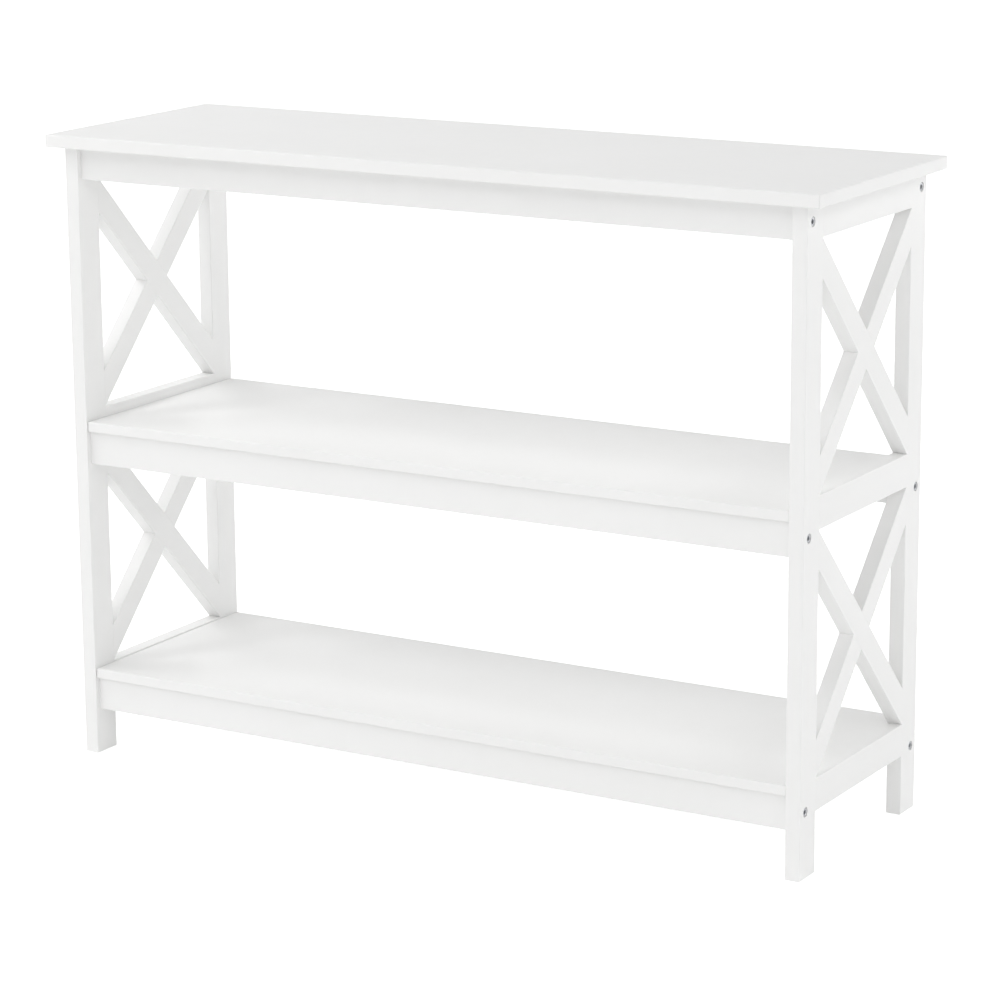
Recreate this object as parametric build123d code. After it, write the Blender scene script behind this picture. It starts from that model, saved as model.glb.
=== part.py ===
from build123d import *
import math
import os

# Three-tier console table: two end frames with crossed slats, joined by a top and two shelves.
# X runs along the table, Y from front to back, Z up. The origin is on the floor, midway between the feet.
# All sizes are in millimetres.

# Overall size
table_length = 1000.0
table_depth = 325.0
table_height = 753.0

# Top board
top_thickness = 15.0
top_end_overhang = 19.5
top_side_overhang = 12.5
top_edge_round = 1.5
top_corner_round = 2.0

# End frames: legs, rails and crossed slats are cut from one thickness of board
frame_thickness = 18.0
leg_width = 38.0
rail_height = 38.0
bottom_rail_lift = 70.0
frame_edge_round = 0.8
flush_edge_round = 0.2
foot_edge_chamfer = 0.6

# Crossed slats
slat_width = 30.0
lap_clearance = 0.05

# Shelves
shelf_thickness = 12.0
shelf_front_setback = 1.5
shelf_end_gap = 0.5
shelf_edge_round = 1.2
middle_shelf_drop = 12.0
bottom_shelf_drop = 1.5

# Aprons under the top and under each shelf
top_apron_height = 38.0
shelf_apron_height = 40.0
apron_thickness = 12.0
apron_setback = 7.0
apron_edge_round = 0.8

# Frame bolts, one through each leg into the end of each apron
bolt_diameter = 6.0
bolt_length = 50.0
bolt_drop = 18.0
bolt_tip_chamfer = 0.8
bolt_head_diameter = 10.0
bolt_head_height = 6.0
bolt_head_round = 0.8
bolt_head_recess = 0.5
bolt_head_clearance = 0.5
bolt_hole_clearance = 0.5
bolt_tip_clearance = 2.0
socket_across_flats = 5.0
socket_depth = 3.0

# Barrel nuts, set across each apron end
nut_diameter = 10.0
nut_length = 9.0
nut_inset = 28.0
nut_clearance = 0.1
nut_thread_clearance = 0.05
nut_slot_width = 1.2
nut_slot_depth = 1.0
nut_edge_chamfer = 0.4

# Wooden dowels
dowel_diameter = 6.0
dowel_chamfer = 0.6
dowel_clearance = 0.05
dowel_end_clearance = 0.5
rail_dowel_depth = 14.0
rail_dowel_spread = 10.0
slat_dowel_depth = 11.0
apron_dowel_in_leg = 10.0
apron_dowel_in_apron = 20.0
apron_dowel_rise = 11.0
board_dowel_in_apron = 20.0
board_dowel_cover = 4.0
board_dowel_pitch = 300.0
board_dowel_count = 3

# Places that follow from the sizes above
leg_height = table_height - top_thickness
frame_outer_x = table_length / 2 - top_end_overhang
frame_inner_x = frame_outer_x - frame_thickness
leg_outer_y = table_depth / 2 - top_side_overhang
leg_inner_y = leg_outer_y - leg_width
rail_length = 2 * leg_inner_y
slat_opening = (leg_height - bottom_rail_lift - 3 * rail_height) / 2

bottom_rail_z = bottom_rail_lift
middle_rail_z = bottom_rail_z + rail_height + slat_opening
top_rail_z = middle_rail_z + rail_height + slat_opening
rail_levels = {"bottom": bottom_rail_z, "middle": middle_rail_z, "top": top_rail_z}

middle_shelf_z = middle_rail_z + rail_height - middle_shelf_drop - shelf_thickness
bottom_shelf_z = bottom_rail_z + rail_height - bottom_shelf_drop - shelf_thickness
board_levels = {"bottom": bottom_shelf_z, "middle": middle_shelf_z, "top": leg_height}
board_thickness = {"bottom": shelf_thickness, "middle": shelf_thickness, "top": top_thickness}
apron_heights = {"bottom": shelf_apron_height, "middle": shelf_apron_height, "top": top_apron_height}

apron_mid_y = leg_outer_y - apron_setback - apron_thickness / 2
nut_y = apron_mid_y
bolt_seat = bolt_head_height + bolt_head_recess
bolt_reach = bolt_length - (frame_thickness - bolt_seat)

end_sides = {"left": -1, "right": 1}
depth_sides = {"front": -1, "back": 1}


def bolt_height(level):
    """Height of the bolts at one level, below the apron's top edge."""
    return board_levels[level] - bolt_drop


def slat_slope():
    """Rise over run of a slat whose opposite corners meet opposite corners of its opening.

    The slat's run is the rail length, and its slanted width stands slat_width * sqrt(1 + slope^2) high
    at each leg, so rail_length * slope + slat_width * sqrt(1 + slope^2) = slat_opening.
    """
    diagonal = math.sqrt(rail_length**2 + slat_opening**2 - slat_width**2)
    return (slat_opening * rail_length - slat_width * diagonal) / (rail_length**2 - slat_width**2)


def slat_end_height():
    """Height of the upright end of a slat, where it meets the leg."""
    return slat_width * math.sqrt(1 + slat_slope() ** 2)


def rod(diameter, start, end):
    """Round bar from one point to another along X, Y or Z."""
    axis = Vector(end) - Vector(start)
    plane = Plane(origin=start, z_dir=axis)
    return extrude(plane * Circle(diameter / 2), amount=axis.length)


def block(x_range, y_range, z_range):
    """Rectangular block between two limits on each axis."""
    size = [high - low for low, high in (x_range, y_range, z_range)]
    centre = [(high + low) / 2 for low, high in (x_range, y_range, z_range)]
    return Pos(*centre) * Box(*size)


def long_edges(solid, axis):
    """Edges of a block that run along one axis."""
    return solid.edges().filter_by(axis)


def dowel(start, end):
    """Wooden dowel with chamfered ends, between two points."""
    pin = rod(dowel_diameter, start, end)
    return chamfer(pin.edges().filter_by(GeomType.CIRCLE), dowel_chamfer)


def dowel_hole(start, end):
    """Hole for a dowel, a little wider and deeper at both ends."""
    axis = (Vector(end) - Vector(start)).normalized()
    low = Vector(start) - axis * dowel_end_clearance
    high = Vector(end) + axis * dowel_end_clearance
    return rod(dowel_diameter + 2 * dowel_clearance, low, high)


def flush_heights():
    """Ranges of height where rails and slats lie flush against the legs."""
    ranges = []
    for z in rail_levels.values():
        low = z if z == bottom_rail_z else z - slat_end_height()
        high = z + rail_height + (0 if z == top_rail_z else slat_end_height())
        ranges.append((low, high))
    return ranges


def rail_dowels(end, level):
    """Start and end points of the dowels that join one rail to its two legs."""
    x = end_sides[end] * (frame_inner_x + frame_thickness / 2)
    mid_z = rail_levels[level] + rail_height / 2
    spans = []
    for side in depth_sides.values():
        for offset in (-rail_dowel_spread, rail_dowel_spread):
            z = mid_z + offset
            inner = (x, side * (leg_inner_y - rail_dowel_depth), z)
            outer = (x, side * (leg_inner_y + rail_dowel_depth), z)
            spans.append((inner, outer))
    return spans


def slat_dowels(end, tier, rising):
    """Start and end points of the dowels at the two ends of one slat."""
    x = end_sides[end] * (frame_inner_x + frame_thickness / 2)
    low_z = slat_floor(tier) + slat_end_height() / 2
    high_z = slat_floor(tier) + slat_opening - slat_end_height() / 2
    spans = []
    for side in depth_sides.values():
        z = high_z if (side > 0) == rising else low_z
        inner = (x, side * (leg_inner_y - slat_dowel_depth), z)
        outer = (x, side * (leg_inner_y + slat_dowel_depth), z)
        spans.append((inner, outer))
    return spans


def apron_dowel(end, side, level):
    """Start and end points of the dowel beside a bolt, from the leg into the apron."""
    direction = end_sides[end]
    y = depth_sides[side] * apron_mid_y
    z = bolt_height(level) + apron_dowel_rise
    inner = (direction * (frame_inner_x - apron_dowel_in_apron), y, z)
    outer = (direction * (frame_inner_x + apron_dowel_in_leg), y, z)
    return inner, outer


def board_dowels(side, level):
    """Start and end points of the dowels that stand in an apron's top edge and enter the board."""
    y = depth_sides[side] * apron_mid_y
    joint_z = board_levels[level]
    rise = board_thickness[level] - board_dowel_cover
    middle = (board_dowel_count - 1) / 2
    spans = []
    for number in range(board_dowel_count):
        x = (number - middle) * board_dowel_pitch
        spans.append(((x, y, joint_z - board_dowel_in_apron), (x, y, joint_z + rise)))
    return spans


def bolt_hole(end, side, level):
    """Counterbored hole for one frame bolt, through the leg and into the apron's end."""
    direction = end_sides[end]
    y = depth_sides[side] * apron_mid_y
    z = bolt_height(level)
    bore_end = frame_inner_x - bolt_reach - bolt_tip_clearance
    bore = rod(
        bolt_diameter + 2 * bolt_hole_clearance,
        (direction * frame_outer_x, y, z),
        (direction * bore_end, y, z),
    )
    seat = rod(
        bolt_head_diameter + 2 * bolt_head_clearance,
        (direction * frame_outer_x, y, z),
        (direction * (frame_outer_x - bolt_seat), y, z),
    )
    return bore + seat


def nut_hole(end, side, level):
    """Hole for a barrel nut, from the apron's inner face."""
    x = end_sides[end] * (frame_inner_x - nut_inset)
    z = bolt_height(level)
    inner_face = apron_mid_y - apron_thickness / 2
    floor = nut_y + nut_length / 2
    direction = depth_sides[side]
    return rod(
        nut_diameter + 2 * nut_clearance,
        (x, direction * inner_face, z),
        (x, direction * floor, z),
    )


def slat_floor(tier):
    """Height of the rail that a pair of slats stands on."""
    rail_below = {"lower": "bottom", "upper": "middle"}[tier]
    return rail_levels[rail_below] + rail_height


def slat_outline(tier, rising, extra):
    """Corner points, in Y and Z, of one slat. Extra widens it on both long edges."""
    half_run = rail_length / 2
    half_rise = (slat_opening - slat_end_height()) / 2
    half_end = slat_end_height() / 2 + extra * math.sqrt(1 + slat_slope() ** 2)
    middle = slat_floor(tier) + slat_opening / 2
    turn = 1 if rising else -1
    return [
        (-half_run, middle - turn * half_rise - half_end),
        (half_run, middle + turn * half_rise - half_end),
        (half_run, middle + turn * half_rise + half_end),
        (-half_run, middle - turn * half_rise + half_end),
    ]


def slat_prism(tier, rising, x_low, x_high, extra=0.0):
    """Slat outline carried through a range of X."""
    outline = make_face(Polyline(*slat_outline(tier, rising, extra), close=True))
    return extrude(Plane.YZ.offset(x_low) * outline, amount=x_high - x_low)


def make_slat(end, tier, rising):
    """One of the two crossed slats, notched to half its thickness where they cross.

    Its long edges are rounded, but only lightly across the other slat, where the two lie flush.
    """
    direction = end_sides[end]
    x_low = min(direction * frame_inner_x, direction * frame_outer_x)
    x_high = x_low + frame_thickness
    middle = x_low + frame_thickness / 2
    slat = slat_prism(tier, rising, x_low, x_high)
    slant = [e for e in slat.edges() if abs(e.tangent_at(0).Z) > 0.1 and abs(e.tangent_at(0).Y) > 0.1]
    crossing = slat_prism(tier, not rising, x_low, x_high)
    slat = fillet(slant, frame_edge_round) + (fillet(slant, flush_edge_round) & crossing)
    # Each end frame is the other turned half round, so at both ends it is the rising slat that is
    # notched on the side that faces +X.
    if rising:
        notch = (middle - lap_clearance / 2, x_high)
    else:
        notch = (x_low, middle + lap_clearance / 2)
    slat -= slat_prism(tier, not rising, *notch, extra=lap_clearance)
    for span in slat_dowels(end, tier, rising):
        slat -= dowel_hole(*span)
    return slat


def make_leg(end, side):
    """One leg, with its bolt holes, its counterbores and its dowel holes.

    Its long edges are rounded, but only lightly where rails and slats lie flush beside them.
    """
    direction = end_sides[end]
    facing = depth_sides[side]
    x_range = sorted((direction * frame_inner_x, direction * frame_outer_x))
    y_range = sorted((facing * leg_inner_y, facing * leg_outer_y))
    post = block(x_range, y_range, (0, leg_height))
    leg = fillet(long_edges(post, Axis.Z), frame_edge_round)
    leg = chamfer(leg.faces().sort_by(Axis.Z)[0].edges(), foot_edge_chamfer)
    lightly_eased = fillet(long_edges(post, Axis.Z), flush_edge_round)
    flush_y = sorted((facing * leg_inner_y, facing * (leg_inner_y + leg_width / 2)))
    for flush_z in flush_heights():
        leg += lightly_eased & block(x_range, flush_y, flush_z)
    for level in rail_levels:
        leg -= bolt_hole(end, side, level)
        leg -= dowel_hole(*apron_dowel(end, side, level))
        for span in rail_dowels(end, level):
            leg -= dowel_hole(*span)
    for tier in ("lower", "upper"):
        for rising in (True, False):
            for span in slat_dowels(end, tier, rising):
                leg -= dowel_hole(*span)
    return leg


def make_rail(end, level):
    """One rail of an end frame, between its two legs."""
    direction = end_sides[end]
    x_range = sorted((direction * frame_inner_x, direction * frame_outer_x))
    z = rail_levels[level]
    rail = block(x_range, (-leg_inner_y, leg_inner_y), (z, z + rail_height))
    rail = fillet(long_edges(rail, Axis.Y), frame_edge_round)
    for span in rail_dowels(end, level):
        rail -= dowel_hole(*span)
    return rail


def make_apron(side, level):
    """One apron, with the bores for its bolts, barrel nuts and dowels."""
    facing = depth_sides[side]
    z = board_levels[level]
    inner_face = facing * (apron_mid_y - apron_thickness / 2)
    outer_face = facing * (apron_mid_y + apron_thickness / 2)
    y_range = sorted((inner_face, outer_face))
    apron = block((-frame_inner_x, frame_inner_x), y_range, (z - apron_heights[level], z))
    apron = fillet(long_edges(apron, Axis.X), apron_edge_round)
    for end in end_sides:
        apron -= bolt_hole(end, side, level)
        apron -= nut_hole(end, side, level)
        apron -= dowel_hole(*apron_dowel(end, side, level))
    for span in board_dowels(side, level):
        apron -= dowel_hole(*span)
    return apron


def make_top():
    """Top board, with rounded corners and eased edges."""
    half_length = table_length / 2
    half_depth = table_depth / 2
    z_range = (leg_height, table_height)
    board = block((-half_length, half_length), (-half_depth, half_depth), z_range)
    board = fillet(long_edges(board, Axis.Z), top_corner_round)
    faces = board.faces().sort_by(Axis.Z)
    board = fillet(faces[0].edges() + faces[-1].edges(), top_edge_round)
    for side in depth_sides:
        for span in board_dowels(side, "top"):
            board -= dowel_hole(*span)
    return board


def make_shelf(level):
    """One shelf, resting on its two aprons between the end frames."""
    half_length = frame_inner_x - shelf_end_gap
    half_depth = leg_outer_y - shelf_front_setback
    z = board_levels[level]
    board = block((-half_length, half_length), (-half_depth, half_depth), (z, z + shelf_thickness))
    board = fillet(long_edges(board, Axis.X), shelf_edge_round)
    for side in depth_sides:
        for span in board_dowels(side, level):
            board -= dowel_hole(*span)
    return board


def make_bolt(end, side, level):
    """Socket head bolt, with its head just below the leg's outer face."""
    direction = end_sides[end]
    y = depth_sides[side] * apron_mid_y
    z = bolt_height(level)
    head_face = frame_outer_x - bolt_head_recess
    seat = frame_outer_x - bolt_seat
    head = rod(bolt_head_diameter, (direction * seat, y, z), (direction * head_face, y, z))
    rim = head.edges().filter_by(GeomType.CIRCLE).sort_by(Axis.X)
    head = fillet(rim[-1] if direction > 0 else rim[0], bolt_head_round)
    shank = rod(bolt_diameter, (direction * seat, y, z), (direction * (seat - bolt_length), y, z))
    tip = shank.edges().filter_by(GeomType.CIRCLE).sort_by(Axis.X)
    shank = chamfer(tip[0] if direction > 0 else tip[-1], bolt_tip_chamfer)
    mouth = Plane(origin=(direction * head_face, y, z), z_dir=(-direction, 0, 0))
    hexagon = RegularPolygon(socket_across_flats / 2, 6, major_radius=False)
    return head + shank - extrude(mouth * hexagon, amount=socket_depth)


def make_nut(end, side, level):
    """Barrel nut, cross-drilled for its bolt and slotted on its visible end."""
    facing = depth_sides[side]
    x = end_sides[end] * (frame_inner_x - nut_inset)
    z = bolt_height(level)
    near = facing * (nut_y - nut_length / 2)
    far = facing * (nut_y + nut_length / 2)
    nut = rod(nut_diameter, (x, near, z), (x, far, z))
    nut = chamfer(nut.edges().filter_by(GeomType.CIRCLE), nut_edge_chamfer)
    thread = bolt_diameter + 2 * nut_thread_clearance
    nut -= rod(thread, (x - nut_diameter, facing * nut_y, z), (x + nut_diameter, facing * nut_y, z))
    slot_y = sorted((near, near + facing * nut_slot_depth))
    slot_x = (x - nut_diameter / 2, x + nut_diameter / 2)
    slot_z = (z - nut_slot_width / 2, z + nut_slot_width / 2)
    return nut - block(slot_x, slot_y, slot_z)


def write(name, solids):
    """Write one node, a single piece or a group of like pieces, to its own file."""
    shape = solids[0] if len(solids) == 1 else Compound(children=solids)
    export_step(shape, f"parts/{name}.step")


os.makedirs("parts", exist_ok=True)

write("top_board", [make_top()])
write("middle_shelf", [make_shelf("middle")])
write("bottom_shelf", [make_shelf("bottom")])

for level in board_levels:
    for side in depth_sides:
        write(f"{side}_{level}_apron", [make_apron(side, level)])

for end in end_sides:
    for side in depth_sides:
        write(f"{end}_{side}_leg", [make_leg(end, side)])
    for level in rail_levels:
        write(f"{end}_{level}_rail", [make_rail(end, level)])
    for tier in ("lower", "upper"):
        write(f"{end}_{tier}_rising_slat", [make_slat(end, tier, True)])
        write(f"{end}_{tier}_falling_slat", [make_slat(end, tier, False)])

joints = [(side, level) for side in depth_sides for level in board_levels]
for end in end_sides:
    write(f"{end}_frame_bolts", [make_bolt(end, *joint) for joint in joints])
    write(f"{end}_barrel_nuts", [make_nut(end, *joint) for joint in joints])
    write(f"{end}_apron_dowels", [dowel(*apron_dowel(end, *joint)) for joint in joints])
    rail_spans = [span for level in rail_levels for span in rail_dowels(end, level)]
    write(f"{end}_rail_dowels", [dowel(*span) for span in rail_spans])
    slat_spans = []
    for tier in ("lower", "upper"):
        for rising in (True, False):
            slat_spans += slat_dowels(end, tier, rising)
    write(f"{end}_slat_dowels", [dowel(*span) for span in slat_spans])

for level in board_levels:
    board_spans = [span for side in depth_sides for span in board_dowels(side, level)]
    write(f"{level}_board_dowels", [dowel(*span) for span in board_spans])
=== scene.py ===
import math
import bpy
import numpy as np
from mathutils import Matrix, Vector


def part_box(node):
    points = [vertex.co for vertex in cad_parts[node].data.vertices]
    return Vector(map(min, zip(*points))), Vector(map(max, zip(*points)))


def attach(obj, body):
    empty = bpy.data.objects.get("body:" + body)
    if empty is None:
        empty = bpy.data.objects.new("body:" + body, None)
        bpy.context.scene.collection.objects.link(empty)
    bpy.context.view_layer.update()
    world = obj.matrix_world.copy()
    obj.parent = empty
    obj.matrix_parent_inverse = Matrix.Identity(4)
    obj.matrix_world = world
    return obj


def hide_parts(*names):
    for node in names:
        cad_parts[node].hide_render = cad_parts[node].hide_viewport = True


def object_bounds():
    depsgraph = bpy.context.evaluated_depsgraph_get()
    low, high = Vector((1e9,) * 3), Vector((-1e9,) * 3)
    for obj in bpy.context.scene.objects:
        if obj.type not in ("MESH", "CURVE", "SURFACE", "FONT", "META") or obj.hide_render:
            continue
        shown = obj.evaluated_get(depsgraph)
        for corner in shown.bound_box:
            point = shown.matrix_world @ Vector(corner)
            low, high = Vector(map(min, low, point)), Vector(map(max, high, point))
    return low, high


# Three-tier console table in white painted fibreboard, with crossed end slats.
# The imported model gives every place. Lengths are in metres and angles in degrees.

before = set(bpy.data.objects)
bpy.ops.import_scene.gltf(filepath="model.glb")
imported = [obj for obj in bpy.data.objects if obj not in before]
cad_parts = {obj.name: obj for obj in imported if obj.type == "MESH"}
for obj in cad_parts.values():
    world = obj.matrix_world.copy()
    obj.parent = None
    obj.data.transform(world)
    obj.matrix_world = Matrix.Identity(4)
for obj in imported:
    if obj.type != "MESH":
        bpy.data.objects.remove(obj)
cadBox = [list(corner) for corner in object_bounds()]
scene = bpy.context.scene
print("frame loaded:", len(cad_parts), "pieces")


# Meshes

placeDigits = 6  # corners that agree to the micrometre are at one place


def solidBoxes(nodeName):
    # Lowest and highest corner of each separate solid in a group of like pieces.
    # Corners at one place share a number, and each triangle hands its smallest number to all three
    # of its corners until nothing changes, which leaves every solid with a number of its own.
    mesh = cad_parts[nodeName].data
    mesh.calc_loop_triangles()
    corners = np.empty(len(mesh.vertices) * 3)
    mesh.vertices.foreach_get("co", corners)
    triangles = np.empty(len(mesh.loop_triangles) * 3, int)
    mesh.loop_triangles.foreach_get("vertices", triangles)
    rounded = np.round(corners.reshape(-1, 3), placeDigits)
    places, number = np.unique(rounded, axis=0, return_inverse=True)
    triangles = number.reshape(-1)[triangles].reshape(-1, 3)
    group, before = np.arange(len(places)), None
    while before is None or (group != before).any():
        before = group.copy()
        np.minimum.at(group, triangles.ravel(), np.repeat(before[triangles].min(axis=1), 3))
    solids = [places[group == smallest] for smallest in np.unique(group)]
    return [(solid.min(axis=0), solid.max(axis=0)) for solid in solids]


def ringFaces(rings, around):
    # Quads between neighbouring rings of a closed skin, and one polygon over each end.
    ring, step = np.meshgrid(np.arange(rings - 1), np.arange(around), indexing="ij")
    here = ring * around + step
    beside = ring * around + (step + 1) % around
    quads = np.stack([here, beside, beside + around, here + around], axis=-1).reshape(-1, 4)
    firstEnd = np.arange(around)[::-1]
    lastEnd = np.arange(around) + (rings - 1) * around
    return quads.tolist() + [firstEnd.tolist(), lastEnd.tolist()]


def turnedShape(low, high, heading, along, radius):
    # A bar turned about the long axis of its box: a point lies at tail + heading * along on that axis,
    # and radius * (cos(angle), heading * sin(angle)) out from it. Along is the distance of each ring
    # from the tail, and radius is one row per ring and one column per angle. Heading is 1 where the
    # head looks along the axis and -1 where it looks back, which turns the bar end for end.
    axis = int(np.argmax(high - low))
    firstSide, secondSide = (axis + 1) % 3, (axis + 2) % 3
    angle = np.linspace(0, 2 * math.pi, radius.shape[1], endpoint=False)
    tail = low[axis] if heading > 0 else high[axis]
    points = np.empty((*radius.shape, 3))
    points[..., axis] = tail + heading * along[:, None]
    points[..., firstSide] = (low + high)[firstSide] / 2 + radius * np.cos(angle)
    points[..., secondSide] = (low + high)[secondSide] / 2 + heading * radius * np.sin(angle)
    stride = np.hypot(np.diff(along), np.diff(radius.mean(axis=1)))
    travelled = np.repeat(np.concatenate([[0], np.cumsum(stride)]), radius.shape[1])
    return points.reshape(-1, 3), ringFaces(*radius.shape), travelled


def newPiece(name, shapes, sharpAbove):
    # One mesh from several closed skins. Each point keeps its distance along its skin's profile.
    points, faces, travelled, start = [], [], [], 0
    for shapePoints, shapeFaces, shapeTravelled in shapes:
        points.append(shapePoints)
        faces += [[corner + start for corner in face] for face in shapeFaces]
        travelled.append(shapeTravelled)
        start += len(shapePoints)
    mesh = bpy.data.meshes.new(name)
    mesh.from_pydata(np.concatenate(points).tolist(), [], faces)
    mesh.attributes.new("travelled", "FLOAT", "POINT")
    distances = np.concatenate(travelled).astype(np.float32)
    mesh.attributes["travelled"].data.foreach_set("value", distances)
    mesh.shade_smooth()
    mesh.set_sharp_from_angle(angle=math.radians(sharpAbove))
    piece = bpy.data.objects.new(name, mesh)
    scene.collection.objects.link(piece)
    return piece


def settle(piece, material, slotName, *nodeNames):
    # Gives a finished piece its material, and its place in the table.
    piece.data.materials.clear()
    piece.data.materials.append(material)
    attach(piece, "root")
    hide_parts(*nodeNames)


# Materials

whole = (0.0, 1.0)
wideSpread = (0.3, 0.7)  # where most of a noise lies
narrowSpread = (0.35, 0.65)  # less of it, for stronger contrast


def setInputs(tree, node, inputs):
    # An input is a plain value, or the socket that feeds it.
    for key, value in inputs.items():
        if isinstance(value, bpy.types.NodeSocket):
            tree.links.new(value, node.inputs[key])
        else:
            node.inputs[key].default_value = value


def addNode(tree, kind, inputs=None, **settings):
    node = tree.nodes.new("ShaderNode" + kind)
    for key, value in settings.items():
        setattr(node, key, value)
    setInputs(tree, node, inputs or {})
    return node


def newMaterial(name):
    material = bpy.data.materials.new(name)
    material.use_nodes = True
    return material, material.node_tree, material.node_tree.nodes["Principled BSDF"]


def blendColours(tree, share, first, second):
    # The first colour where share is 0, the second where it is 1. Inputs 6 and 7 are the node's colours.
    first, second = (colour if isinstance(colour, bpy.types.NodeSocket) else (*colour, 1)
                     for colour in (first, second))
    return addNode(tree, "Mix", {0: share, 6: first, 7: second}, data_type="RGBA").outputs[2]


def remap(tree, value, fromRange, toRange=whole):
    # Straight line from one range to the other, held at its ends.
    ranges = {"Value": value, "From Min": fromRange[0], "From Max": fromRange[1],
              "To Min": toRange[0], "To Max": toRange[1]}
    return addNode(tree, "MapRange", ranges).outputs["Result"]


def multiply(tree, first, second):
    return addNode(tree, "Math", {0: first, 1: second}, operation="MULTIPLY").outputs[0]


def noise(tree, vector, size, detail):
    # Size is the width of one blotch.
    return addNode(tree, "TexNoise", {"Vector": vector, "Scale": 1 / size, "Detail": detail}).outputs[0]


def streaks(tree, vector, axis, along, across, detail):
    # Noise drawn out, with one length along an axis and another across it.
    stretch = [1 / across] * 3
    stretch[axis] = 1 / along
    stretched = addNode(tree, "Mapping", {"Vector": vector, "Scale": stretch}).outputs[0]
    return noise(tree, stretched, 1.0, detail)


def relief(tree, height, depth, under=None):
    # Bumps, laid over another layer of bumps where there is one.
    bump = addNode(tree, "Bump", {"Height": height, "Distance": depth})
    if under:
        setInputs(tree, bump, {"Normal": under})
    return bump.outputs[0]


paintLook = {
    "ior": 1.5,
    "colour": (0.885, 0.885, 0.880),
    "colourDrift": (0.868, 0.868, 0.861),  # where the coat lies a little thinner
    "driftSize": 0.22,
    "driftDetail": 2.0,
    "boardColour": (0.80, 0.77, 0.71),  # fibreboard that just shows through along a worn arris
    "wear": 0.08,
    "wearDetail": 4.0,
    "arris": 0.0014,
    "arrisOpen": (0.85, 0.35),  # share of open board under a point, from a flat face to an arris
    "arrisSamples": 6,
    "faceRoughness": (0.36, 0.45),
    "cutFrom": (0.75, 0.45),  # how far a surface looks along the face axis, from face to cut edge
    "cutRoughness": 0.07,  # added on cut edges, which drink the paint
    "mottleSize": 0.011,
    "mottleDetail": 3.0,
    "peelSize": 0.0024,  # ripple of a sprayed coat
    "peelDetail": 1.0,
    "peelDepth": 0.000018,
    "layerSize": 0.0007,  # layers of pressed fibre on a cut edge
    "layerLength": 0.012,
    "layerDetail": 3.0,
    "layerDepth": 0.00001,
}


def paintedBoard(name, faceAxis):
    # White lacquer on fibreboard whose wide faces look along one axis. The other faces are cut edges.
    look = paintLook
    material, tree, shader = newMaterial(name)
    texture = addNode(tree, "TexCoord").outputs
    place = texture["Object"]
    direction = addNode(tree, "SeparateXYZ", {0: texture["Normal"]}).outputs[faceAxis]
    facing = addNode(tree, "Math", {0: direction}, operation="ABSOLUTE").outputs[0]
    cutEdge = remap(tree, facing, look["cutFrom"])

    drift = remap(tree, noise(tree, place, look["driftSize"], look["driftDetail"]), wideSpread)
    colour = blendColours(tree, drift, look["colour"], look["colourDrift"])
    openBoard = addNode(tree, "AmbientOcclusion", {"Distance": look["arris"]},
                        inside=True, only_local=True, samples=look["arrisSamples"]).outputs["AO"]
    arris = remap(tree, openBoard, look["arrisOpen"])
    rubbed = noise(tree, place, look["mottleSize"], look["wearDetail"])
    worn = multiply(tree, multiply(tree, arris, rubbed), look["wear"])

    mottle = noise(tree, place, look["mottleSize"], look["mottleDetail"])
    satin = remap(tree, mottle, wideSpread, look["faceRoughness"])
    rougher = addNode(tree, "Math", {0: cutEdge, 1: look["cutRoughness"], 2: satin},
                      operation="MULTIPLY_ADD").outputs[0]

    layers = streaks(tree, place, faceAxis, look["layerSize"], look["layerLength"], look["layerDetail"])
    peel = noise(tree, place, look["peelSize"], look["peelDetail"])
    rippled = relief(tree, peel, look["peelDepth"])
    pressed = relief(tree, multiply(tree, layers, cutEdge), look["layerDepth"], rippled)

    setInputs(tree, shader, {
        "Base Color": blendColours(tree, worn, colour, look["boardColour"]),
        "Roughness": rougher,
        "IOR": look["ior"],
        "Normal": pressed,
    })
    return material


steelLook = {
    "colour": (0.62, 0.63, 0.65),
    "dullColour": (0.50, 0.51, 0.53),
    "dullSize": 0.0035,
    "dullDetail": 3.0,
    "roughness": (0.26, 0.44),
    "markSize": 0.00022,  # rings left by the lathe
    "markDetail": 1.0,
    "markDepth": 0.000008,
}


def turnedSteel():
    # Bright zinc plate with dull patches, and lathe marks that follow the profile of each bolt.
    look = steelLook
    material, tree, shader = newMaterial("zinc plated steel")
    place = addNode(tree, "TexCoord").outputs["Object"]
    dull = remap(tree, noise(tree, place, look["dullSize"], look["dullDetail"]), narrowSpread)
    travelled = addNode(tree, "Attribute", attribute_name="travelled").outputs["Fac"]
    spacing = {"W": travelled, "Scale": 1 / look["markSize"], "Detail": look["markDetail"]}
    marks = addNode(tree, "TexNoise", spacing, noise_dimensions="1D").outputs[0]
    setInputs(tree, shader, {
        "Base Color": blendColours(tree, dull, look["colour"], look["dullColour"]),
        "Metallic": 1.0,
        "Roughness": remap(tree, dull, whole, look["roughness"]),
        "Normal": relief(tree, marks, look["markDepth"]),
    })
    return material


castLook = {
    "colour": (0.50, 0.51, 0.52),
    "dullColour": (0.38, 0.385, 0.39),
    "roughness": (0.38, 0.55),
    "grainSize": 0.0006,
    "grainDetail": 3.0,
    "grainDepth": 0.00002,
}


def castZinc():
    # Grey cast metal, darker and rougher in the pits of its grain.
    look = castLook
    material, tree, shader = newMaterial("cast zinc")
    place = addNode(tree, "TexCoord").outputs["Object"]
    grain = noise(tree, place, look["grainSize"], look["grainDetail"])
    dull = remap(tree, grain, narrowSpread)
    setInputs(tree, shader, {
        "Base Color": blendColours(tree, dull, look["colour"], look["dullColour"]),
        "Metallic": 1.0,
        "Roughness": remap(tree, dull, whole, look["roughness"]),
        "Normal": relief(tree, grain, look["grainDepth"]),
    })
    return material


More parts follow.
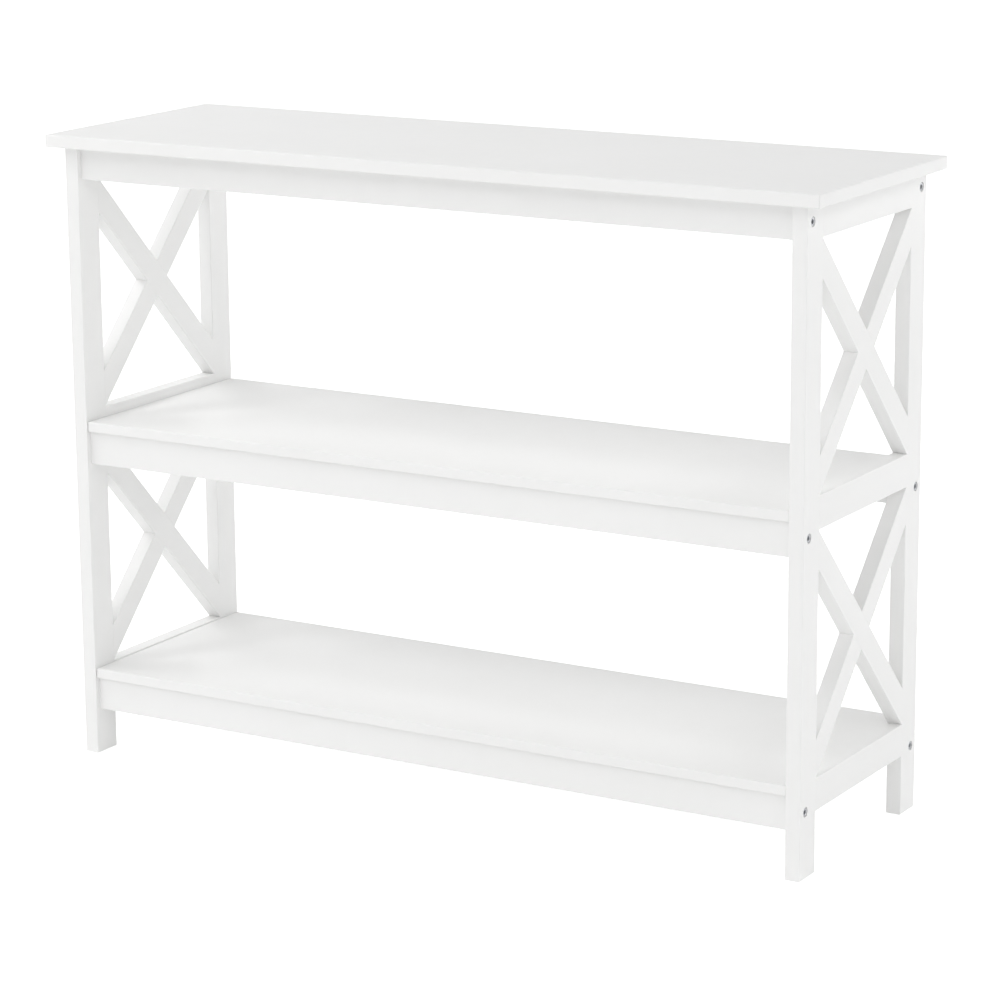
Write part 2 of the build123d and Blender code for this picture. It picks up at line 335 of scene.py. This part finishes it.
beechLook = {
    "colour": (0.60, 0.42, 0.25),
    "grainColour": (0.46, 0.30, 0.16),
    "fleckColour": (0.36, 0.22, 0.11),
    "grainSize": 0.0009,
    "grainLength": 0.03,
    "grainDetail": 4.0,
    "fleckSize": 0.0003,
    "fleckLength": 0.0022,
    "fleckShare": (0.0, 0.5),
    "fleckSpread": (0.62, 0.72),  # only the peaks of the noise are flecks
    "roughness": (0.55, 0.72),
    "grainDepth": 0.00005,
}


def beech(name, grainAxis):
    # Unfinished beech with its grain along one axis, flecked with short dark rays.
    look = beechLook
    material, tree, shader = newMaterial(name)
    place = addNode(tree, "TexCoord").outputs["Object"]
    grain = streaks(tree, place, grainAxis, look["grainLength"], look["grainSize"], look["grainDetail"])
    rays = streaks(tree, place, grainAxis, look["fleckLength"], look["fleckSize"], look["grainDetail"])
    dark = remap(tree, grain, narrowSpread)
    colour = blendColours(tree, dark, look["colour"], look["grainColour"])
    fleck = remap(tree, rays, look["fleckSpread"], look["fleckShare"])
    setInputs(tree, shader, {
        "Base Color": blendColours(tree, fleck, colour, look["fleckColour"]),
        "Roughness": remap(tree, grain, wideSpread, look["roughness"]),
        "Normal": relief(tree, grain, look["grainDepth"]),
    })
    return material


flatPaint = paintedBoard("white paint, boards lying flat", 2)
apronPaint = paintedBoard("white paint, aprons", 1)
framePaint = paintedBoard("white paint, end frames", 0)
boltSteel = turnedSteel()
nutZinc = castZinc()
print("materials made")


# Frame bolts

boltShape = {
    "around": 72,
    "headHeight": 0.006,
    "headRound": 0.0008,
    "roundSteps": 5,
    "knurls": 36,
    "knurlDepth": 0.00014,
    "shankDiameter": 0.006,
    "tipChamfer": 0.0008,
    "threadLength": 0.026,
    "threadPitch": 0.001,
    "threadDepth": 0.0006,
    "ringsPerPitch": 5,
    "headChamfer": 0.0004,  # on the underside and at the mouth of the socket
    "socketWidth": 0.005,  # across the flats
    "socketRim": 0.0031,
    "socketDepth": 0.003,
    "socketCone": 0.0009,
    "coneTop": 0.98,  # widths of the drill's cone, as shares of the socket's
    "coneTip": 0.08,
    "sharpAbove": 32,
}


def boltSkin(low, high, heading):
    # Rings from the tip to the bottom of the socket. Each radius is the ring's own, less a groove of
    # thread, which is a triangle wave in (distance / pitch - turn), less a knurl, which is a cosine of
    # the turn, and the rings of the socket are drawn out to a hexagon by 1 / cos(angle from a flat).
    shape = boltShape
    length, headRadius = (high - low)[0], (high - low)[1] / 2
    shankRadius = shape["shankDiameter"] / 2
    chamfer = shape["headChamfer"]
    flat = shape["socketWidth"] / 2
    shoulder = length - shape["headHeight"]
    socketFloor = length - shape["socketDepth"]
    threadEnd, pitch = shape["threadLength"], shape["threadPitch"]
    thread = np.linspace(shape["tipChamfer"], threadEnd, int(threadEnd / pitch * shape["ringsPerPitch"]))
    bend = np.linspace(0, math.pi / 2, shape["roundSteps"])
    crown = length - shape["headRound"] * (1 - np.sin(bend))
    crownRadius = headRadius - shape["headRound"] * (1 - np.cos(bend))

    # distance, radius, share of thread, share of knurl, share of hexagon
    rows = [(0.0, shankRadius - shape["tipChamfer"], 0, 0, 0)]
    rows += [(distance, shankRadius, 1, 0, 0) for distance in thread]
    rows += [
        (threadEnd + pitch, shankRadius, 0, 0, 0),
        (shoulder, shankRadius, 0, 0, 0),
        (shoulder, headRadius - chamfer, 0, 0, 0),
        (shoulder + chamfer, headRadius, 0, 1, 0),
        (crown[0] - chamfer, headRadius, 0, 1, 0),
    ]
    rows += [(distance, ringRadius, 0, 0, 0) for distance, ringRadius in zip(crown, crownRadius)]
    rows += [
        (length, shape["socketRim"], 0, 0, 0),
        (length - chamfer, flat, 0, 0, 1),
        (socketFloor, flat, 0, 0, 1),
        (socketFloor, flat * shape["coneTop"], 0, 0, 0),
        (socketFloor - shape["socketCone"], flat * shape["coneTip"], 0, 0, 0),
    ]
    along, base, threaded, knurled, hexagonal = np.array(rows).T[:, :, None]

    angle = np.linspace(0, 2 * math.pi, shape["around"], endpoint=False)
    sixth = math.pi / 3
    fromFlat = (angle + sixth / 2) % sixth - sixth / 2
    groove = np.abs(2 * ((along / pitch - angle / (2 * math.pi)) % 1) - 1)
    fade = np.clip((threadEnd - along) / pitch, 0, 1)
    radius = base * (1 + hexagonal * (1 / np.cos(fromFlat) - 1))
    radius = radius - shape["threadDepth"] * threaded * fade * groove
    radius = radius - shape["knurlDepth"] * knurled * (0.5 - 0.5 * np.cos(shape["knurls"] * angle))
    return turnedShape(low, high, heading, along[:, 0], radius)


for end, heading in (("left", -1), ("right", 1)):
    nodeName = f"{end}_frame_bolts"
    skins = [boltSkin(low, high, heading) for low, high in solidBoxes(nodeName)]
    bolts = newPiece(f"{end}Bolts", skins, boltShape["sharpAbove"])
    settle(bolts, boltSteel, "zinc_steel", nodeName)
print("bolts made")


# Dowels

dowelShape = {
    "flutes": 20,
    "pointsPerFlute": 4,
    "fluteDepth": 0.00022,
    "chamfer": 0.0006,
    "sharpAbove": 30,
    "groups": {
        # node: axis that the dowels lie along
        "left_apron_dowels": 0,
        "left_rail_dowels": 1,
        "left_slat_dowels": 1,
        "right_apron_dowels": 0,
        "right_rail_dowels": 1,
        "right_slat_dowels": 1,
        "bottom_board_dowels": 2,
        "middle_board_dowels": 2,
        "top_board_dowels": 2,
    },
}


def dowelSkin(low, high):
    # A round peg with chamfered ends. Its flutes take depth * (1 - cos(flutes * angle)) / 2 off the
    # radius.
    shape = dowelShape
    length, peg = np.sort(high - low)[[2, 0]]
    chamfer = shape["chamfer"]
    angle = np.linspace(0, 2 * math.pi, shape["flutes"] * shape["pointsPerFlute"], endpoint=False)
    along = np.array([0, chamfer, length - chamfer, length])
    base = peg / 2 - np.array([chamfer, 0, 0, chamfer])
    radius = base[:, None] - shape["fluteDepth"] * (0.5 - 0.5 * np.cos(shape["flutes"] * angle))
    return turnedShape(low, high, 1, along, radius)


beechAlong = [beech(f"beech, grain along {axisName}", axis) for axis, axisName in enumerate("XYZ")]
for nodeName, axis in dowelShape["groups"].items():
    firstWord, *otherWords = nodeName.split("_")
    pieceName = firstWord + "".join(word.capitalize() for word in otherWords)
    skins = [dowelSkin(low, high) for low, high in solidBoxes(nodeName)]
    dowels = newPiece(pieceName, skins, dowelShape["sharpAbove"])
    settle(dowels, beechAlong[axis], "dowel_wood", nodeName)
print("dowels made")


# Top board and shelves

boardShape = {
    "roundSteps": 8,
    "margin": 0.0006,  # flat strip beside each rounding, which keeps the shading of the flats true
    "leastCorner": 0.00015,
    "holeClearance": 0.00005,  # round each dowel
    "holeEnd": 0.0005,  # beyond its tip
    "holeSides": 48,
    "sharpAbove": 30,
    "boards": [
        # node, piece, node of its dowels, rounding of the edges, rounding of the corners
        ("top_board", "topBoard", "top_board_dowels", 0.0015, 0.0020),
        ("middle_shelf", "middleShelf", "middle_board_dowels", 0.0012, 0.0012),
        ("bottom_shelf", "bottomShelf", "bottom_board_dowels", 0.0012, 0.0012),
    ],
}


def boardSkin(low, high, edge, corner):
    # The edge profile carried round a rectangle with round corners. The profile is drawn as an inset
    # from the outline and a height, a quarter circle at the bottom and one at the top, and a ring at
    # an inset is the outline moved in by it, its corner radius less by as much.
    shape = boardShape
    margin = shape["margin"]
    flatStart = [edge + margin]
    bend = np.linspace(0, math.pi / 2, shape["roundSteps"] + 1)
    rounding = edge * (1 - np.sin(bend))
    rise = edge * (1 - np.cos(bend))
    inset = np.concatenate([flatStart, rounding, [0, 0], rounding[::-1], flatStart])
    lower = np.concatenate([[0], rise, flatStart])
    height = np.concatenate([low[2] + lower, high[2] - lower[::-1]])

    turn = np.concatenate([[0], bend, [math.pi / 2]])
    slide = np.concatenate([[-1], np.zeros(len(bend)), [1]]) * margin
    slide = np.tile(slide, 4)
    quarter = np.arange(4)[:, None] * math.pi / 2
    angle = (quarter + turn).ravel()
    signs = np.repeat([(1, 1), (-1, 1), (-1, -1), (1, -1)], len(turn), axis=0)
    outward = np.stack([np.cos(angle), np.sin(angle)], axis=-1)
    onward = np.stack([-np.sin(angle), np.cos(angle)], axis=-1)

    radius = np.maximum(corner - inset, shape["leastCorner"])[:, None, None]
    half = (high - low)[:2] / 2 - inset[:, None, None] - radius
    outline = (low + high)[:2] / 2 + signs * half + outward * radius + onward * slide[:, None]
    heights = np.broadcast_to(height[:, None, None], (len(inset), len(angle), 1))
    points = np.concatenate([outline, heights], axis=-1)
    travelled = np.repeat(inset, len(angle))
    return points.reshape(-1, 3), ringFaces(len(inset), len(angle)), travelled


def drill(piece, dowelNode):
    # Takes the dowels' holes out of a board: a plain round bar for each dowel, a little larger and
    # longer than it is, cut from the board.
    shape = boardShape
    bores = []
    for low, high in solidBoxes(dowelNode):
        reach = high[2] - low[2] + shape["holeEnd"]
        radius = np.full((2, shape["holeSides"]), (high - low)[0] / 2 + shape["holeClearance"])
        bores.append(turnedShape(low, high, 1, np.array([0, reach]), radius))
    bits = newPiece("bits", bores, shape["sharpAbove"])
    cut = piece.modifiers.new("dowel holes", "BOOLEAN")
    cut.operation = "DIFFERENCE"
    cut.solver = "EXACT"
    cut.object = bits
    worked = piece.evaluated_get(bpy.context.evaluated_depsgraph_get())
    drilled = bpy.data.meshes.new_from_object(worked)
    piece.modifiers.clear()
    drilled.name = piece.name
    drilled.set_sharp_from_angle(angle=math.radians(shape["sharpAbove"]))
    piece.data = drilled
    bpy.data.objects.remove(bits)


for nodeName, pieceName, dowelNode, edge, corner in boardShape["boards"]:
    low, high = (np.array(place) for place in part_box(nodeName))
    board = newPiece(pieceName, [boardSkin(low, high, edge, corner)], boardShape["sharpAbove"])
    drill(board, dowelNode)
    settle(board, flatPaint, "white_paint", nodeName)
print("boards made")


# Pieces that keep their own shape

keptFinish = {
    # last word of the node: its finish
    "apron": apronPaint,
    "leg": framePaint,
    "rail": framePaint,
    "slat": framePaint,
    "nuts": nutZinc,
}
for nodeName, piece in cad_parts.items():
    kind = nodeName.split("_")[-1]
    if kind in keptFinish:
        for materialSlot in piece.material_slots:
            materialSlot.material = keptFinish[kind]
print("finishes laid on")


# Studio

studio = {
    "floorRadius": 60.0,
    "floorSides": 128,
    "floorColour": (0.93, 0.93, 0.93),
    "floorRoughness": 0.9,
    "floorMottle": 1.01,  # how much paler the pale patches are
    "floorMottleSize": 0.4,
    "floorMottleDetail": 2.0,
    "floorGlow": 0.21,  # a lit floor panel rather than plain paper
    "floorExtraGlow": 0.34,  # only as seen, so that the floor stays white under the table
    "surround": [
        # degrees up, strength of the white room from there up
        (0, 0.45),
        (22, 1.54),
        (50, 0.07),
    ],
    "surroundBlend": 4,  # degrees from one strength to the next
    "surroundSeen": 1.05,
    "softboxes": [
        # name, degrees round from the front, degrees up, distance, side, watts
        ("key softbox", -70, 45, 3.0, 0.7, 9.8),
        ("high softbox", -40, 58, 3.0, 0.7, 9.4),
        ("rear softbox", 150, 15, 2.6, 1.4, 7.4),
    ],
}
camera = {
    "round": 30.824,  # from straight in front, towards the right
    "up": 13.499,
    "tilt": -0.452,
    "distance": 4.110,
    "lookAt": (0.0146, -0.0005, -0.0329),  # from the middle of the table
    "lens": 128.39,
    "sensor": 36,
}
white = (1, 1, 1, 1)
middle = Vector([(lowest + highest) / 2 for lowest, highest in zip(*cadBox)])


def outwards(turn, rise):
    # Direction from the table to a place that far round from the front and that far up, in degrees.
    turn, rise = math.radians(turn), math.radians(rise)
    return Vector((math.sin(turn) * math.cos(rise), -math.cos(turn) * math.cos(rise), math.sin(rise)))


def makeFloor():
    # A wide pale disc, its rim at radius * (cos(turn), sin(turn)).
    turn = np.linspace(0, 2 * math.pi, studio["floorSides"], endpoint=False)
    rim = np.stack([np.cos(turn), np.sin(turn), np.zeros(len(turn))], axis=-1) * studio["floorRadius"]
    mesh = bpy.data.meshes.new("floor")
    mesh.from_pydata(rim.tolist(), [], [list(range(len(turn)))])
    material, tree, shader = newMaterial("pale studio floor")
    place = addNode(tree, "TexCoord").outputs["Object"]
    mottle = noise(tree, place, studio["floorMottleSize"], studio["floorMottleDetail"])
    paler = tuple(value * studio["floorMottle"] for value in studio["floorColour"])
    seen = addNode(tree, "LightPath").outputs["Is Camera Ray"]
    glow = (studio["floorGlow"], studio["floorGlow"] + studio["floorExtraGlow"])
    setInputs(tree, shader, {
        "Base Color": blendColours(tree, remap(tree, mottle, wideSpread), studio["floorColour"], paler),
        "Roughness": studio["floorRoughness"],
        "Emission Color": white,
        "Emission Strength": remap(tree, seen, whole, glow),
    })
    mesh.materials.append(material)
    floor = bpy.data.objects.new("floor", mesh)
    scene.collection.objects.link(floor)


def makeSurround():
    # A white room whose strength goes by height: the lowest band's, plus each change on the way up.
    scene.world = bpy.data.worlds.new("white surround")
    scene.world.use_nodes = True
    tree = scene.world.node_tree
    direction = addNode(tree, "TexCoord").outputs["Generated"]
    height = addNode(tree, "SeparateXYZ", {0: direction}).outputs["Z"]
    halfBlend = studio["surroundBlend"] / 2
    strength = studio["surround"][0][1]
    for (_, before), (rise, after) in zip(studio["surround"], studio["surround"][1:]):
        limits = [math.sin(math.radians(rise + side * halfBlend)) for side in (-1, 1)]
        change = remap(tree, height, limits, (0.0, after - before))
        strength = addNode(tree, "Math", {0: change, 1: strength}, operation="ADD").outputs[0]
    seen = addNode(tree, "LightPath").outputs["Is Camera Ray"]
    shown = remap(tree, seen, whole, (strength, studio["surroundSeen"]))
    setInputs(tree, tree.nodes["Background"], {"Color": white, "Strength": shown})


def makeSoftboxes():
    # Square lights that face the middle of the table, and aren't seen themselves.
    for name, turn, rise, distance, side, watts in studio["softboxes"]:
        light = bpy.data.lights.new(name, "AREA")
        light.size = side
        light.energy = watts
        softbox = bpy.data.objects.new(name, light)
        scene.collection.objects.link(softbox)
        softbox.location = middle + outwards(turn, rise) * distance
        softbox.rotation_euler = outwards(turn, rise).to_track_quat("Z", "Y").to_euler()
        softbox.visible_camera = False


def makeCamera():
    # The camera's axes are across, up and back from the table, tilted about the way it looks.
    turn = math.radians(camera["round"])
    back = outwards(camera["round"], camera["up"])
    across = Vector((math.cos(turn), math.sin(turn), 0))
    level = Matrix((across, back.cross(across), back)).transposed()
    tilted = level @ Matrix.Rotation(math.radians(camera["tilt"]), 3, "Z")
    lens = bpy.data.cameras.new("camera")
    lens.lens = camera["lens"]
    lens.sensor_width = camera["sensor"]
    seen = bpy.data.objects.new("camera", lens)
    scene.collection.objects.link(seen)
    target = middle + Vector(camera["lookAt"])
    seen.matrix_world = Matrix.Translation(target + back * camera["distance"]) @ tilted.to_4x4()
    scene.camera = seen


makeFloor()
makeSurround()
makeSoftboxes()
makeCamera()
scene.view_settings.view_transform = "Standard"
print("studio ready")
